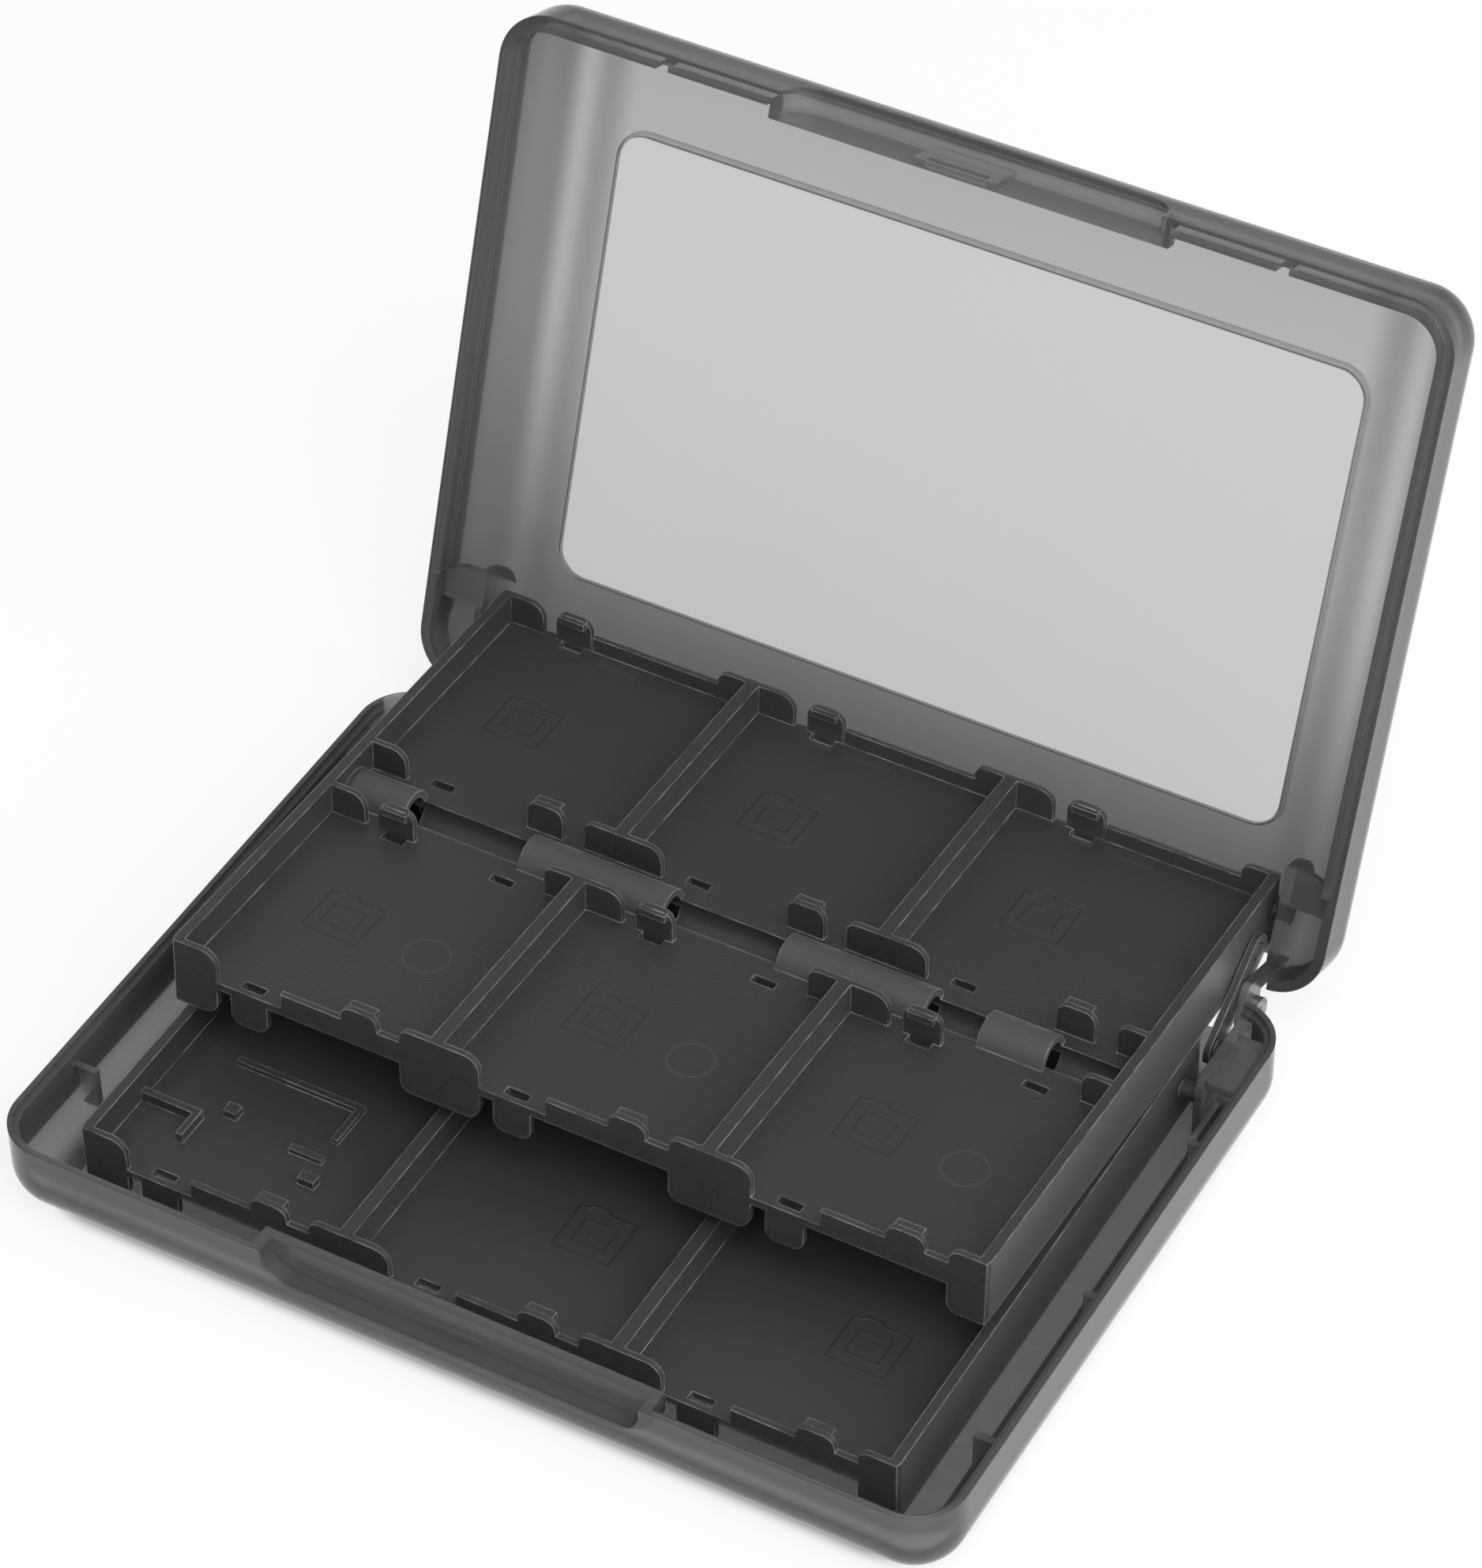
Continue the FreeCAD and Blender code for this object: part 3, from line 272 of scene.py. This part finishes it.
# worn paints highlights on the trays' sharp edges.
TRAY_LOOK = {"clear": 0.78, "density": 2600.0, "glow": 0.2, "grain": 0.12, "gloss_rough": 0.45, "edge_highlight": 0.7}

dress(smoke_plastic("base_smoke", BASE_GREY, 0.50, 260.0, 0.3, 0.10, 0.25), "base_shell")
dress(smoke_plastic("lid_smoke", LID_GREY, 0.68, 110.0, 0.4, 0.10, 0.25, painted_shade=lid_painted_shade), "lid_shell")
dress(smoke_plastic("upper_tray_smoke", TRAY_GREY, painted_light_boxes=LIT_ARCH_BOXES, **TRAY_LOOK), "upper_tray")
dress(smoke_plastic("tray_smoke", TRAY_GREY, **TRAY_LOOK), "lower_tray", "swing_link_left", "swing_link_right")
dress(clear_pane("pane_clear"), "lid_window")


# Moulded marks on the cell floors


class TrayFrame:
    """Places points of a tray's own plan, in millimetres from its middle, on either of its faces."""

    def __init__(self, y, z, tilt):
        self.y = y
        self.z = z
        self.cosine = math.cos(math.radians(tilt))
        self.sine = math.sin(math.radians(tilt))

    def point(self, x, u, w, face):
        """x runs along the hinge, u to the rear and w up from the web, turned over for face -1."""
        u *= face
        w *= face
        y = self.y + u * self.cosine + w * self.sine
        z = self.z - u * self.sine + w * self.cosine
        return (x * MM, y * MM, z * MM)


# A raised line's section: places across its width, and shares of its height.
LINE_SECTION = ((-0.5, 0.0), (-0.28, 1.0), (0.28, 1.0), (0.5, 0.0))


def line_loop(bm, tray, face, corners, width, base, height):
    """A closed raised line along the corners: sloping sides and a flat top."""
    count = len(corners)
    rings = []
    for offset, rise in LINE_SECTION:
        ring = []
        for i in range(count):
            x, u = corners[i]
            before = corners[i - 1]
            after = corners[(i + 1) % count]
            ax, au = x - before[0], u - before[1]
            bx, bu = after[0] - x, after[1] - u
            a, b = math.hypot(ax, au), math.hypot(bx, bu)
            nx, nu = au / a + bu / b, -ax / a - bx / b
            scale = width * offset * 2.0 / (nx * nx + nu * nu)
            spot = tray.point(x + nx * scale, u + nu * scale, base + rise * height, face)
            ring.append(bm.verts.new(spot))
        rings.append(ring)
    for inner, outer in zip(rings, rings[1:]):
        for i in range(count):
            k = (i + 1) % count
            if face > 0:
                bm.faces.new((inner[i], inner[k], outer[k], outer[i]))
            else:
                bm.faces.new((inner[i], outer[i], outer[k], inner[k]))


def circle(x, u, radius, count=28):
    turns = [2 * math.pi * i / count for i in range(count)]
    return [(x + radius * math.cos(turn), u - radius * math.sin(turn)) for turn in turns]


def finish_piece(name, bm, material, body):
    mesh = bpy.data.meshes.new(name)
    bmesh.ops.recalc_face_normals(bm, faces=bm.faces)
    bm.to_mesh(mesh)
    bm.free()
    piece = bpy.data.objects.new(name, mesh)
    bpy.context.scene.collection.objects.link(piece)
    mesh.materials.append(material)
    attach(piece, body)


# A card's outline with one notched edge, and its label, round their common middle, in millimetres.
CARD = ((-4.2, -3.9), (-4.2, 3.9), (-3.1, 3.9), (-2.5, 4.5), (-0.4, 4.5), (0.2, 3.9), (4.2, 3.9), (4.2, -3.9))
LABEL = ((-2.4, -2.0), (-2.4, 2.0), (2.4, 2.0), (2.4, -2.0))
CARD_LINE = 0.42
LABEL_LINE = 0.38
CARD_RISE = 0.05
# An ejector mark, from its cell's middle.
EJECTOR = (7.6, -0.9)
EJECTOR_RADIUS = 3.2
EJECTOR_LINE = 0.5
EJECTOR_RISE = 0.03
# A tray's cells: the floor from the middle of the web, and the rows and columns from the tray's middle.
FLOOR = 0.61
ROW = 23.3
PITCH = 40.0


def add_marks(tag, body, tray, shift, bare):
    """Card outlines and ejector marks in every cell of a tray, above and below its web.

    shift places the outlines along the hinge, and bare names cells that have ribs instead.
    """
    cards = bmesh.new()
    circles = bmesh.new()
    for face in (1, -1):
        for row in (-1, 1):
            for cell in (-1, 0, 1):
                if (face, row, cell) in bare:
                    continue
                x = cell * PITCH + shift
                u = row * ROW
                for outline, line in ((CARD, CARD_LINE), (LABEL, LABEL_LINE)):
                    corners = [(x + a, u + b) for a, b in outline]
                    line_loop(cards, tray, face, corners, line, FLOOR, CARD_RISE)
                if face < 0 or (row < 0 and tag == "upper"):
                    round_mark = circle(cell * PITCH + EJECTOR[0], u + EJECTOR[1], EJECTOR_RADIUS)
                    line_loop(circles, tray, face, round_mark, EJECTOR_LINE, FLOOR, EJECTOR_RISE)
    finish_piece(tag + "_tray_card_outlines", cards, groove_shade_mark, body)
    finish_piece(tag + "_tray_ejector_marks", circles, mark_faint, body)


# Its dark tone is painted shade: the shade of engraved lines, laid on the raised card outlines.
groove_shade_mark = mark_plastic("groove_shade_mark", (0.017, 0.0172, 0.018), 0.5)
mark_faint = mark_plastic("mark_faint", (0.035, 0.035, 0.0355), 0.5)
add_marks("upper", "tray", TrayFrame(23.161, 18.847, 3.1), -5.8, ())
add_marks("lower", "base", TrayFrame(0.0, 7.1, 0.0), 5.8, ((1, -1, -1),))


# Stage

FLOOR_SIDE = 3.0
# A painted shadow darkens the ground under the case. It is a rounded rectangle: a core, and a soft edge past it.
SHADOW_CORE = {"X": 57.0 * MM, "Y": 37.2 * MM}
SHADOW_EDGE = (8.0 * MM, 12.0 * MM)
SHADOW_TONE = (0.03, 0.03, 0.031, 1.0)
GROUND_PALE = (0.82, 0.82, 0.82, 1.0)
# The paper's glow, from inside the painted shadow to outside it.
GROUND_SHINE = (0.01, 0.80)
LOOK_AT = (0.0, 0.02, 0.03)


def add_floor():
    mesh = bpy.data.meshes.new("floor")
    side = FLOOR_SIDE
    mesh.from_pydata([(-side, -side, 0), (side, -side, 0), (side, side, 0), (-side, side, 0)], [], [(0, 1, 2, 3)])
    floor = bpy.data.objects.new("floor", mesh)
    bpy.context.scene.collection.objects.link(floor)
    g = new_material("floor_paper")
    axes = g.place()
    past = []
    for axis, half in SHADOW_CORE.items():
        beyond = g.math("SUBTRACT", g.math("ABSOLUTE", axes[axis]), half)
        past.append(g.math("MAXIMUM", beyond, 0.0))
    reach = g.add("ShaderNodeCombineXYZ", X=past[0], Y=past[1])
    far = g.add("ShaderNodeVectorMath", {"operation": "LENGTH"})
    g.set(far, 0, reach.outputs[0])
    # Painted shadow: the paper and its white glow both fall dark under the case.
    unshadowed_share = g.remap(far.outputs["Value"], *SHADOW_EDGE, 0.0, 1.0, "SMOOTHSTEP")
    paper = g.add("ShaderNodeBsdfDiffuse", Color=g.blend(unshadowed_share, SHADOW_TONE, GROUND_PALE))
    light = g.add("ShaderNodeEmission", Strength=1.0)
    shine = g.remap(unshadowed_share, 0.0, 1.0, *GROUND_SHINE)
    rays = g.seen("Is Camera Ray", "Is Transmission Ray", "Is Glossy Ray")
    mesh.materials.append(g.finish(g.mix(g.math("MULTIPLY", rays, shine), paper.outputs[0], light.outputs[0])))


def add_world():
    """Soft light all round, and plain white where the camera sees it."""
    world = bpy.data.worlds.new("studio")
    bpy.context.scene.world = world
    g = Graph(world, "ShaderNodeOutputWorld")
    soft = g.add("ShaderNodeBackground", Color=WHITE, Strength=0.55)
    white = g.add("ShaderNodeBackground", Color=WHITE, Strength=1.0)
    g.finish(g.mix(g.seen("Is Camera Ray", "Is Transmission Ray"), soft.outputs[0], white.outputs[0]))


def add_lamp(name, place, power, size):
    lamp = bpy.data.lights.new(name, "AREA")
    lamp.energy = power
    lamp.size = size
    item = bpy.data.objects.new(name, lamp)
    bpy.context.scene.collection.objects.link(item)
    item.location = place
    aim = Vector(LOOK_AT) - Vector(place)
    item.rotation_mode = "QUATERNION"
    item.rotation_quaternion = aim.to_track_quat("-Z", "Y")


# The photo's camera: its focal length and height in the photo's pixels, and the turn vector and
# offset that were fitted to the case's corners.
FOCAL_PIXELS = 7636.5
PHOTO_HEIGHT = 1985.0
CAMERA_TURN = (2.265, 0.584, -0.267)
CAMERA_OFFSET = (-12.435, 47.047, 796.905)
FIT_LIFT = (0.0, 0.0, 1.0)
SENSOR = 36.0


def add_camera():
    camera = bpy.data.cameras.new("camera")
    camera.sensor_width = SENSOR
    camera.lens = SENSOR * FOCAL_PIXELS / PHOTO_HEIGHT
    camera.clip_start = 0.01
    camera.clip_end = 20.0
    item = bpy.data.objects.new("camera", camera)
    bpy.context.scene.collection.objects.link(item)
    turn = Vector(CAMERA_TURN)
    back = Matrix.Rotation(turn.length, 3, turn.normalized()).transposed()
    place = back @ -(Vector(CAMERA_OFFSET) * MM) + Vector(FIT_LIFT) * MM
    flip = Matrix(((1, 0, 0), (0, -1, 0), (0, 0, -1)))
    item.matrix_world = Matrix.Translation(place) @ (back @ flip).to_4x4()
    bpy.context.scene.camera = item


add_floor()
add_world()
add_lamp("key", (0.45, -0.45, 0.95), 9.0, 0.7)
add_lamp("side", (0.8, 0.1, 0.5), 4.0, 0.5)
add_camera()
bpy.context.scene.view_settings.view_transform = "Standard"
